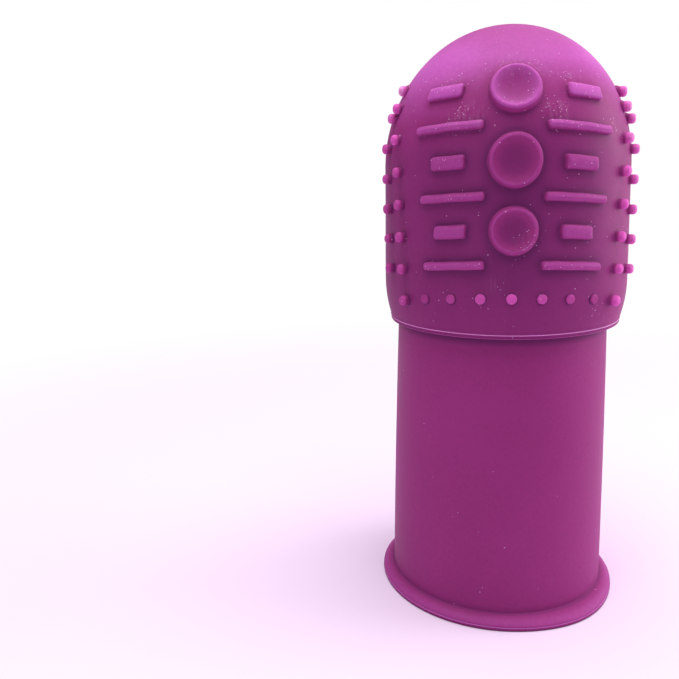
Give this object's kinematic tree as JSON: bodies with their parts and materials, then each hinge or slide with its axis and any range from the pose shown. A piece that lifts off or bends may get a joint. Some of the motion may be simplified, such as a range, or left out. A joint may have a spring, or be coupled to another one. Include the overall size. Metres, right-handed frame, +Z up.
{
  "type": "finger thimble",
  "caption": "Soft silicone finger thimble: an open sleeve with a flanged rim and a thicker domed cap with raised discs, ribs, studs and pegs on its front for grip.",
  "frame": {"origin": "centre of the rim's underside, on the finger axis", "axes": "+Z up the finger axis to the domed tip, -Y out of the textured front, X across"},
  "size_m": [0.0264, 0.0264, 0.0607],
  "materials": {
    "silicone": "matte magenta silicone with a soft sheen"
  },
  "bodies": {
    "root": {"finger_thimble": "silicone"}
  },
  "joints": []
}
